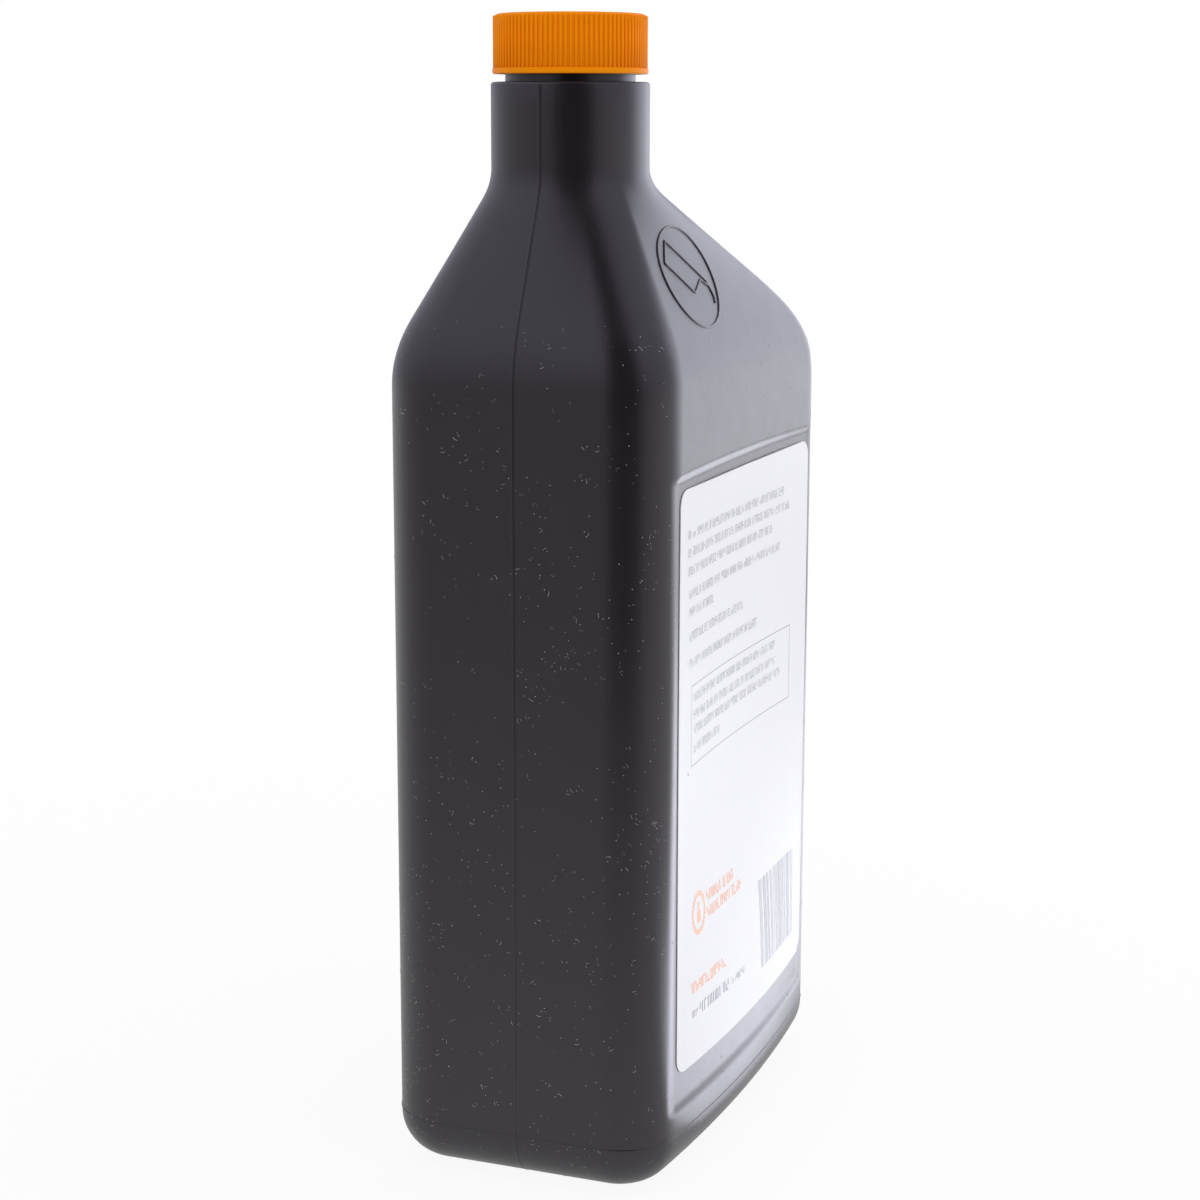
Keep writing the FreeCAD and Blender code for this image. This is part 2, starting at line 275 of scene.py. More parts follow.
@dataclass(frozen=True)
class BodyForm:
    """Form of the blow-moulded body and its neck, in millimetres."""

    width: float = 107.2
    depth: float = 59.6
    corner: float = 12.3
    base_radius: float = 9.5
    wall: float = 1.1
    base_wall: float = 1.6
    push_rise: float = 2.2
    push_margin: float = 4.0
    push_slope: float = 5.0
    foot_bow: float = 1.9
    foot_bow_top: float = 24.0
    waist_hollow: float = 1.5
    waist_height: float = 88.0
    waist_top: float = 112.0
    bow_end: float = 158.0
    panel_depth: float = 0.7
    panel_bottom: float = 15.6
    panel_top: float = 142.4
    panel_step: float = 2.4
    panel_arch: float = 0.8
    shoulder_bottom: float = 165.4
    shoulder_rise: float = 32.2
    near_softness: float = 6.5
    far_softness: float = 12.0
    top_softness: float = 3.0
    lean_start: float = 0.15
    lean_end: float = 0.85
    ring_side: float = 28.0
    ring_corner: float = 62.0
    neck_margin: float = 29.2
    collar_radius: float = 15.5
    collar_height: float = 19.3
    collar_rim: float = 0.6
    collar_wall: float = 1.5
    collar_inside_round: float = 1.6
    inside_drop: float = 0.8
    inside_drop_run: float = 20.0
    finish_radius: float = 12.7
    bore_radius: float = 10.9
    finish_height: float = 10.7
    finish_rim: float = 0.4
    panel_turn: float = 68.0
    flat_steps: int = 24
    corner_steps: int = 16
    edge_steps: int = 8
    wide_steps: int = 60

    @property
    def half_width(self) -> float:
        """Half of the body's width."""
        return self.width / 2

    @property
    def half_depth(self) -> float:
        """Half of the body's depth at the corners."""
        return self.depth / 2

    @property
    def neck(self) -> float:
        """Place of the neck's axis along X."""
        return self.neck_margin - self.half_width

    @property
    def shoulder_top(self) -> float:
        """Height at which the slanting shoulder meets the collar."""
        return self.shoulder_bottom + self.shoulder_rise

    @property
    def collar_top(self) -> float:
        """Height of the collar's upper rim."""
        return self.shoulder_top + self.collar_height

    @property
    def mouth(self) -> float:
        """Height of the mouth."""
        return self.collar_top + self.finish_height

    def bend(self, level: float, soft_low: float, soft_high: float) -> float:
        """Return how far the outline has gone from body to collar at one level.

        Args:
            level: height in millimetres.
            soft_low: length of the rounding at the foot of the shoulder.
            soft_high: length of the rounding at its top.

        Returns:
            A share from 0 for the body to 1 for the collar.
        """
        slope = 1.0 / self.shoulder_rise
        value = min(1.0, max(0.0, (level - self.shoulder_bottom) * slope))
        if abs(level - self.shoulder_bottom) < soft_low:
            value = slope * (level - self.shoulder_bottom + soft_low) ** 2 / (4.0 * soft_low)
        if abs(level - self.shoulder_top) < soft_high:
            value = 1.0 - slope * (self.shoulder_top + soft_high - level) ** 2 / (4.0 * soft_high)
        return value

    def bow(self, level: float) -> float:
        """Return how far the middle of a wide face stands out of the flat."""
        fall = ease((level - self.foot_bow_top) / (self.waist_height - self.foot_bow_top))
        rise = ease((level - self.waist_top) / (self.bow_end - self.waist_top))
        return self.foot_bow * (1.0 - fall) - self.waist_hollow * fall * (1.0 - rise)

    def panel(self, x: float, level: float) -> float:
        """Return how deep the label panel is set back at one place of a wide face."""
        arch = self.panel_arch * (1.0 - (x / self.half_width) ** 2)
        low = ease((level - self.panel_bottom) / self.panel_step + 0.5)
        high = ease((self.panel_top + arch - level) / self.panel_step + 0.5)
        return self.panel_depth * low * high

    def wide_face(self, x: float, level: float, inset: float) -> float:
        """Return the distance of a wide face from the middle plane below the shoulder."""
        straight = self.half_width - self.corner
        bow = self.bow(level) * (1.0 - (x / straight) ** 2)
        return self.half_depth - inset + bow - self.panel(x, level)

    def block_poles(self, level: float, inset: float) -> np.ndarray:
        """Return the poles of the upright body on the label side.

        Args:
            level: height that sets bow and panel.
            inset: distance inside the outer skin.

        Returns:
            Eighteen pairs of X and the distance from the middle plane.
        """
        radius = self.corner - inset
        straight_x = self.half_width - self.corner
        straight_y = self.half_depth - self.corner
        side = self.half_width - inset
        start, near, far, end = (self.wide_face(straight_x * share, level, inset)
                                 for share in (-1, -1 / 3, 1 / 3, 1))
        near_pole = (18.0 * near - 9.0 * far - 5.0 * start + 2.0 * end) / 6.0
        far_pole = (18.0 * far - 9.0 * near - 5.0 * end + 2.0 * start) / 6.0
        out = np.array([math.cos(math.radians(self.panel_turn)), math.sin(math.radians(self.panel_turn))])
        along = np.array([-out[1], out[0]])
        edge = np.array([straight_x, straight_y]) + radius * out
        long = radius * arc_handle(self.panel_turn)
        short = radius * arc_handle(90.0 - self.panel_turn)
        corner = np.array([(side, straight_y / 3), (side, straight_y), (side, straight_y + long),
                           edge - long * along, edge, edge + short * along])
        face = [(-straight_x - short, start), (-straight_x, start), (-straight_x / 3, near_pole),
                (straight_x / 3, far_pole), (straight_x, end), (straight_x + short, end)]
        return np.concatenate([corner * (-1.0, 1.0), face, corner[::-1]])

    def ring_poles(self, radius: float) -> np.ndarray:
        """Return the poles of a ring round the neck, in the order of the body's."""
        turn = self.ring_side + (self.ring_corner - self.ring_side) * self.panel_turn / 90.0
        stops = [self.ring_side, turn, self.ring_corner]
        stops += [180.0 - stop for stop in reversed(stops)]
        spans = np.diff([-self.ring_side, *stops, 180.0 + self.ring_side])
        poles = []
        for stop, before, after in zip(stops, spans, spans[1:]):
            out_x = -radius * math.cos(math.radians(stop))
            out_y = radius * math.sin(math.radians(stop))
            for handle in (-arc_handle(before), 0.0, arc_handle(after)):
                poles.append((self.neck + out_x + out_y * handle, out_y - out_x * handle))
        return np.array(poles)

    def closed_row(self, half: np.ndarray, z: float) -> np.ndarray:
        """Return the dense outline that belongs to the poles of its label side.

        Args:
            half: its poles as X and the distance from the middle plane.
            z: height of the outline.

        Returns:
            Points from the middle of the near end round the label side, anticlockwise.
        """
        label_side = half * (1.0, -1.0)
        poles = np.concatenate([label_side, half[::-1]])
        steps = [self.flat_steps, self.corner_steps, self.edge_steps, self.wide_steps,
                 self.edge_steps, self.corner_steps] * 2
        stretches = []
        for start, count in zip(range(-2, len(poles) - 2, 3), steps):
            p0, p1, p2, p3 = (poles[(start + step) % len(poles)] for step in range(4))
            t = np.linspace(0.0, 1.0, count, endpoint=False)[:, None]
            stretches.append((1 - t) ** 3 * p0 + 3 * t * (1 - t) ** 2 * p1
                             + 3 * t * t * (1 - t) * p2 + t ** 3 * p3)
        dense = np.roll(np.concatenate(stretches), -(self.flat_steps // 2), axis=0)
        return np.column_stack([dense, np.full(len(dense), z)])

    def outline(self, z: float, inset: float = 0.0, level: float | None = None) -> np.ndarray:
        """Return the dense outline of the body at one height.

        Args:
            z: height at which the points are placed.
            inset: distance inside the outer skin.
            level: height whose form is used, if it is another one.

        Returns:
            An array of points in millimetres.
        """
        level = z if level is None else level
        near = self.bend(level, self.near_softness, self.top_softness)
        far = self.bend(level, self.far_softness, self.top_softness)
        block = self.block_poles(level, inset)
        ring = self.ring_poles(self.collar_radius - inset)
        place = (block[:, 0] + self.half_width) / self.width
        share = np.clip((place - self.lean_start) / (self.lean_end - self.lean_start), 0.0, 1.0)
        weight = share * share * (3.0 - 2.0 * share)
        along = near * (1.0 - weight) + far * weight
        half = np.column_stack([block[:, 0] * (1.0 - along) + ring[:, 0] * along,
                                block[:, 1] * (1.0 - near) + ring[:, 1] * near])
        return self.closed_row(in_line(half), z)

    def neck_ring(self, radius: float, z: float) -> np.ndarray:
        """Return a circle round the neck with the outline's number of points."""
        return self.closed_row(self.ring_poles(radius), z)

    def pad_outline(self, margin: float, radius: float, z: float) -> np.ndarray:
        """Return a rounded rectangle under the base.

        Args:
            margin: its distance from the body's sides.
            radius: radius of its corners.
            z: its height.

        Returns:
            An array of points in millimetres.
        """
        pad = BodyForm(width=self.width - 2 * margin, depth=self.depth - 2 * margin, corner=radius,
                       foot_bow=0.0, waist_hollow=0.0, panel_depth=0.0)
        return self.closed_row(pad.block_poles(0.0, 0.0), z)

    def end_profile(self, z: float, end: End) -> float:
        """Return X of the outer skin in the middle plane, at one narrow end."""
        row = self.outline(z)
        return float(row[len(row) // 2 if end is End.FAR else 0, 0])


def heights(*stops: tuple[float, float]) -> list[float]:
    """Return rising heights.

    Args:
        stops: pairs of a height and the step that leads on from it; the last step isn't used.

    Returns:
        Heights from the first stop to the last one.
    """
    found = []
    for (start, step), (end, _) in zip(stops, stops[1:]):
        found += list(np.linspace(start, end, max(2, math.ceil((end - start) / step) + 1))[:-1])
    return found + [stops[-1][0]]


class Polyethylene:
    """Blow-moulded high density polyethylene, coloured charcoal black.

    The mould is blasted, so the skin is satin, and the parison leaves fine upright lines in it.
    """

    colour = "1A111B"
    haze = "2A2629"
    roughness = 0.35
    specular = 0.65
    line_width = 0.45
    line_length = 14.0
    mottle = 6.0

    def build(self) -> bpy.types.Material:
        """Return the material."""
        material = bpy.data.materials.new("satin_charcoal_polyethylene")
        material.use_nodes = True
        tree = material.node_tree
        shader = tree.nodes["Principled BSDF"]
        shader.inputs["IOR"].default_value = 1.52
        shader.inputs["Specular IOR Level"].default_value = self.specular
        place = add_node(tree, "ShaderNodeTexCoord").outputs["Object"]
        drawn = add_node(tree, "ShaderNodeMapping",
                         {"Scale": (1 / (self.line_width * MM), 1 / (self.line_width * MM),
                                    1 / (self.line_length * MM))}, {"Vector": place})
        lines = add_node(tree, "ShaderNodeTexNoise", {"Scale": 1.0, "Detail": 2.0, "Roughness": 0.6},
                         {"Vector": drawn.outputs[0]})
        blotch = add_node(tree, "ShaderNodeTexNoise",
                          {"Scale": 1 / (self.mottle * MM), "Detail": 3.0, "Roughness": 0.55},
                          {"Vector": place})
        haze = add_node(tree, "ShaderNodeMapRange",
                        {"From Min": 0.35, "From Max": 0.8, "To Min": 0.0, "To Max": 0.12},
                        {"Value": blotch.outputs[0]})
        colour = add_node(tree, "ShaderNodeMix", {"data_type": "RGBA", 6: linear(self.colour),
                                                  7: linear(self.haze)}, {0: haze.outputs[0]})
        gloss = add_node(tree, "ShaderNodeMapRange",
                         {"From Min": 0.3, "From Max": 0.7, "To Min": self.roughness - 0.012,
                          "To Max": self.roughness + 0.012}, {"Value": blotch.outputs[0]})
        bump = add_node(tree, "ShaderNodeBump", {"Strength": 0.22, "Distance": 0.06 * MM},
                        {"Height": lines.outputs[0]})
        tree.links.new(colour.outputs[2], shader.inputs["Base Color"])
        tree.links.new(gloss.outputs[0], shader.inputs["Roughness"])
        tree.links.new(bump.outputs[0], shader.inputs["Normal"])
        return material


@dataclass(frozen=True)
class PlainFinish:
    """A finish that is even all over its piece."""

    name: str
    colour: str
    roughness: float
    ior: float = 1.49
    grain: float = 0.0
    grain_depth: float = 0.0
    specular: float = 0.5

    def build(self) -> bpy.types.Material:
        """Return the material, with a fine grain where a grain size is given."""
        material = bpy.data.materials.new(self.name)
        material.use_nodes = True
        tree = material.node_tree
        shader = tree.nodes["Principled BSDF"]
        shader.inputs["Base Color"].default_value = linear(self.colour)
        shader.inputs["Roughness"].default_value = self.roughness
        shader.inputs["IOR"].default_value = self.ior
        shader.inputs["Specular IOR Level"].default_value = self.specular
        if self.grain:
            place = add_node(tree, "ShaderNodeTexCoord").outputs["Object"]
            noise = add_node(tree, "ShaderNodeTexNoise", {"Scale": 1 / (self.grain * MM), "Detail": 2.0},
                             {"Vector": place})
            bump = add_node(tree, "ShaderNodeBump", {"Strength": 0.3, "Distance": self.grain_depth * MM},
                            {"Height": noise.outputs[0]})
            tree.links.new(bump.outputs[0], shader.inputs["Normal"])
        return material


# Injection moulded polypropylene, self coloured orange: an even skin with little gloss
CAP_POLYPROPYLENE = PlainFinish("orange_polypropylene", "FA9200", 0.42, 1.49, 0.5, 0.01, 0.07)
# Foamed polyethylene disc: dull, white, with fine cells
LINER_FOAM = PlainFinish("white_foam_liner", "E9E8E4", 0.8, 1.45, 0.25, 0.03)
# Biaxially drawn polypropylene film with a matt lacquer
LABEL_FILM = PlainFinish("white_label_film", "F0F0F0", 0.45, 1.5, 1.2, 0.01, 0.08)
# Printing inks, thin and pale on the film
GREY_INK = PlainFinish("grey_ink", "8F9196", 0.4)
DARK_INK = PlainFinish("dark_grey_ink", "808186", 0.4)
ORANGE_INK = PlainFinish("orange_ink", "EE9F6C", 0.4)
BAR_INK = PlainFinish("bar_ink", "9FA1A5", 0.4)
# Lint and dust: pale, dull fibres and grains
LINT = PlainFinish("pale_lint", "EFEBE3", 0.9)


@dataclass
class BottleShell:
    """The hollow bottle: skins, collar, neck finish, thread and push-up."""

    form: BodyForm
    thread_pitch: float = 4.23
    thread_height: float = 0.95
    thread_root: float = 2.1
    thread_tip: float = 1.0
    thread_turns: float = 1.2
    thread_low: float = 3.9

    def base_rows(self) -> list[np.ndarray]:
        """Return the rows from the middle of the push-up to the top of the base rounding."""
        form = self.form
        margin = form.base_radius + form.push_margin
        corner = form.push_margin + form.push_slope
        rows = [form.pad_outline(margin + form.push_slope, corner - form.push_slope, form.push_rise)]
        rows.insert(0, (rows[0] - (0, 0, form.push_rise)) * 0.5 + (0, 0, form.push_rise))
        rows.append(form.pad_outline(margin, corner, 0.0))
        for angle in np.linspace(0.0, math.pi / 2, 16)[:-1]:
            height = form.base_radius * (1.0 - math.cos(angle))
            rows.append(form.outline(height, form.base_radius * (1.0 - math.sin(angle)), height))
        return rows

    def side_heights(self) -> list[float]:
        """Return the heights of the rows from the base rounding to the collar's rim."""
        form = self.form
        step = form.panel_step
        return heights((form.base_radius, 1.5), (form.panel_bottom - step, 0.3),
                       (form.panel_bottom + step, 2.2), (form.panel_top - step, 0.3),
                       (form.panel_top + form.panel_arch + step, 1.5),
                       (form.shoulder_bottom - form.far_softness, 1.1),
                       (form.shoulder_top - form.top_softness, 0.5),
                       (form.shoulder_top + form.top_softness, 4.0),
                       (form.collar_top - form.collar_rim, 1.0))

    def neck_rows(self) -> list[np.ndarray]:
        """Return the rows over the collar's rim, up the finish and down into the bore."""
        form = self.form
        rows = []
        for angle in np.linspace(0.0, math.pi / 2, 5)[1:]:
            rim = form.collar_radius - form.collar_rim * (1.0 - math.cos(angle))
            rows.append(form.neck_ring(rim, form.collar_top - form.collar_rim * (1.0 - math.sin(angle))))
        edge = form.finish_rim
        rows.append(form.neck_ring(form.finish_radius, form.collar_top))
        rows.append(form.neck_ring(form.finish_radius, form.mouth - edge))
        rows.append(form.neck_ring(form.finish_radius - edge, form.mouth))
        rows.append(form.neck_ring(form.bore_radius + edge / 2, form.mouth))
        rows.append(form.neck_ring(form.bore_radius, form.mouth - edge / 2))
        return rows

    def inside_rows(self) -> list[np.ndarray]:
        """Return the rows of the inner skin, from the bore down to the middle of the base."""
        form = self.form
        ceiling = form.collar_top - form.collar_wall
        rows = [form.neck_ring(form.bore_radius, ceiling)]
        for angle in np.linspace(math.pi / 2, 0.0, 4):
            inset = form.collar_wall + form.collar_inside_round * (1.0 - math.cos(angle))
            height = ceiling - form.collar_inside_round * (1.0 - math.sin(angle))
            rows.append(form.neck_ring(form.collar_radius - inset, height))
        for height in reversed(self.side_heights()[:-8:2]):
            share = ease((height - form.shoulder_bottom + form.inside_drop_run) / form.inside_drop_run)
            thick = ease((height - form.shoulder_top + form.top_softness) / (2 * form.top_softness))
            inset = form.wall + (form.collar_wall - form.wall) * thick
            rows.append(form.outline(height, inset, height + form.inside_drop * share))
        radius = form.base_radius - form.base_wall
        for angle in np.linspace(math.pi / 2, 0.0, 8)[1:]:
            inset = form.base_radius - (form.base_radius - form.wall) * math.sin(angle)
            height = form.base_radius - radius * math.cos(angle)
            rows.append(form.outline(height, inset, height))
        margin = form.base_radius + form.push_margin
        top = form.push_rise + form.base_wall
        rows.append(form.pad_outline(margin - 1.0, form.push_margin + form.push_slope, form.base_wall))
        rows.append(form.pad_outline(margin + form.push_slope, form.push_margin, top))
        rows.append((rows[-1] - (0, 0, top)) * 0.5 + (0, 0, top))
        return rows

    def thread(self) -> bpy.types.Mesh:
        """Return the helical ridge on the neck finish."""
        form = self.form
        return helix_mesh("neck_thread", form.neck, form.finish_radius, self.thread_height,
                          self.thread_root, self.thread_tip, 0.0, form.collar_top + self.thread_low,
                          self.thread_pitch, self.thread_turns)

    def build(self) -> bpy.types.Object:
        """Return the bottle as one closed piece."""
        rows = self.base_rows()
        rows += [self.form.outline(height) for height in self.side_heights()]
        rows += self.neck_rows() + self.inside_rows()
        skin = grid_mesh("bottle_skin", rows, start_pole=True, end_pole=True)
        whole = joined_mesh("bottle_shell", [skin, self.thread()])
        return place_object("bottle_shell", whole)

    def dress(self, shell: bpy.types.Object) -> None:
        """Give the bottle its polyethylene."""
        shell.data.materials.append(Polyethylene().build())


def helix_mesh(name: str, axis_x: float, root: float, height: float, root_width: float,
               tip_width: float, start: float, low: float, pitch: float, turns: float) -> bpy.types.Mesh:
    """Return a thread ridge on the neck axis.

    Args:
        name: name of the mesh.
        axis_x: X of the axis in millimetres.
        root: radius of the wall that carries the ridge.
        height: how far it stands out; a negative height points inwards.
        root_width: width at the wall.
        tip_width: width at the crest.
        start: angle of its lower end in radians.
        low: height of its lower end.
        pitch: rise in one turn.
        turns: its length in turns.

    Returns:
        The closed ridge in metres.
    """
    rows = []
    count = int(96 * turns)
    embed = math.copysign(0.3, height)
    for step in range(count + 1):
        share = step / count
        angle = start + 2.0 * math.pi * turns * share
        fade = min(1.0, max(0.04, min(share, 1.0 - share) / 0.09))
        wide = root_width / 2 * (0.5 + 0.5 * fade)
        slim = tip_width / 2 * (0.5 + 0.5 * fade)
        crest = root + height * fade
        section = [(root - embed, -wide), (crest, -slim), (crest, slim), (root - embed, wide)]
        if height < 0:
            section.reverse()
        rows.append(np.array([(axis_x + radius * math.cos(angle), radius * math.sin(angle),
                               low + pitch * turns * share + lift) for radius, lift in section]))
    return grid_mesh(name, rows[::-1], start_pole=True, end_pole=True)


@dataclass
class MouldMarks:
    """What the mould leaves on the body: parting lines and insert line."""

    form: BodyForm
    ridge_width: float = 0.9
    ridge_height: float = 0.07
    slot_width: float = 0.07
    insert_height: float = 10.3
    insert_width: float = 0.5
    insert_ridge: float = 0.14

    def parting_path(self, end: End) -> np.ndarray:
        """Return the middle line of one narrow end as X and Z, from the base to the collar."""
        form = self.form
        path = []
        for angle in np.linspace(0.3, math.pi / 2, 12)[:-1]:
            inset = form.base_radius * (1.0 - math.sin(angle))
            height = form.base_radius * (1.0 - math.cos(angle))
            path.append(((form.half_width - inset) * end.value, height))
        for height in heights((form.base_radius, 6.0), (form.shoulder_bottom - form.far_softness, 1.2),
                              (form.shoulder_top + form.top_softness, 4.0),
                              (form.collar_top - form.collar_rim, 1.0)):
            path.append((form.end_profile(height, end), height))
        return np.array(path)

    def parting_ridge(self, end: End) -> bpy.types.Mesh:
        """Return the low ridge with its fine slot along one parting line."""
        path = self.parting_path(end)
        along = np.gradient(path, axis=0)
        along /= np.linalg.norm(along, axis=1, keepdims=True)
        out = np.column_stack([along[:, 1], -along[:, 0]]) * end.value
        rows = []
        for (x, z), (out_x, out_z) in zip(path, out):
            row = []
            lip = self.slot_width / 2
            for y, lift in ((-self.ridge_width / 2, -0.1), (-lip, 1.0), (-lip, 0.02), (lip, 0.02),
                            (lip, 1.0), (self.ridge_width / 2, -0.1), (0.0, -1.5)):
                rise = lift * self.ridge_height
                row.append((x + out_x * rise, y, z + out_z * rise))
            rows.append(np.array(row[::end.value]))
        return grid_mesh("parting_ridge", rows, start_pole=True, end_pole=True)

    def insert_ring(self) -> bpy.types.Mesh:
        """Return the fine ridge where the base insert meets the mould halves."""
        half = self.insert_width / 2
        section = ((-half, 0.1), (0.0, -self.insert_ridge), (half, 0.1), (0.0, 0.4))
        rings = [self.form.outline(self.insert_height + lift, inset, self.insert_height)
                 for lift, inset in section]
        return grid_mesh("insert_ring", rings + rings[:1])

    def build(self) -> bpy.types.Object:
        """Return all marks as one piece."""
        meshes = [self.parting_ridge(End.NEAR), self.parting_ridge(End.FAR), self.insert_ring()]
        return place_object("mould_marks", joined_mesh("mould_marks", meshes))


@dataclass
class RaisedSign:
    """A raised pouring sign on the shoulder: an oval round a tilted can and its stream."""

    form: BodyForm
    centre_x: float = -20.2
    centre_z: float = 179.6
    oval_width: float = 24.9
    oval_height: float = 19.3
    line_radius: float = 0.27

    def outlines(self) -> list[tuple[list[tuple[float, float]], bool]]:
        """Return the sign's lines as points in its own plane and whether each is closed."""
        oval = [(self.oval_width / 2 * math.cos(turn), self.oval_height / 2 * math.sin(turn))
                for turn in np.linspace(0, 2 * math.pi, 72, endpoint=False)]
        can = [(-5.4, 7.1), (7.7, -1.3), (7.4, -2.1), (5.0, -0.8), (-0.5, -3.1), (-9.5, 3.1)]
        stream = [(7.8, -2.0), (8.5, -3.3), (8.6, -4.5), (8.1, -5.6)]
        return [(oval, True), (can, True), (stream, False)]

    def path_mesh(self) -> bpy.types.Mesh:
        """Return the sign's lines as edges in front of the label side, in metres."""
        points: list[tuple[float, float, float]] = []
        edges = []
        for line, closed in self.outlines():
            first = len(points)
            points += [((self.centre_x + x) * MM, -self.form.depth * MM, (self.centre_z + z) * MM)
                       for x, z in line]
            edges += [(index, index + 1) for index in range(first, len(points) - 1)]
            if closed:
                edges.append((len(points) - 1, first))
        mesh = bpy.data.meshes.new("sign_lines")
        mesh.from_pydata(points, edges, [])
        return mesh

    def tree(self) -> bpy.types.NodeTree:
        """Return the tree that lays lines on a surface and gives them a round section."""
        tree, start = new_geometry_tree("raised_lines", {
            "Surface": "NodeSocketObject", "Line radius": "NodeSocketFloat",
            "Step": "NodeSocketFloat", "Finish": "NodeSocketMaterial"})
        surface = add_node(tree, "GeometryNodeObjectInfo", links={"Object": start.outputs["Surface"]})
        curve = add_node(tree, "GeometryNodeMeshToCurve", links={"Mesh": start.outputs["Geometry"]})
        fine = add_node(tree, "GeometryNodeResampleCurve", {"mode": "LENGTH"},
                        {"Curve": curve.outputs[0], "Length": start.outputs["Step"]})
        ray = add_node(tree, "GeometryNodeRaycast", {"Ray Direction": (0.0, 1.0, 0.0), "Ray Length": 1.0},
                       {"Target Geometry": surface.outputs["Geometry"]})
        laid = add_node(tree, "GeometryNodeSetPosition", None,
                        {"Geometry": fine.outputs[0], "Position": ray.outputs["Hit Position"]})
        section = add_node(tree, "GeometryNodeCurvePrimitiveCircle", {"Resolution": 8},
                           {"Radius": start.outputs["Line radius"]})
        tube = add_node(tree, "GeometryNodeCurveToMesh", {"Fill Caps": True},
                        {"Curve": laid.outputs[0], "Profile Curve": section.outputs[0]})
        close_geometry_tree(tree, tube.outputs[0], start.outputs["Finish"])
        return tree

    def build(self, shell: bpy.types.Object) -> bpy.types.Object:
        """Return the sign, laid on the shell in the shell's own finish."""
        return run_geometry_tree("pouring_sign", self.path_mesh(), self.tree(), {
            "Surface": shell, "Line radius": self.line_radius * MM, "Step": 0.5 * MM,
            "Finish": shell.data.materials[0]})


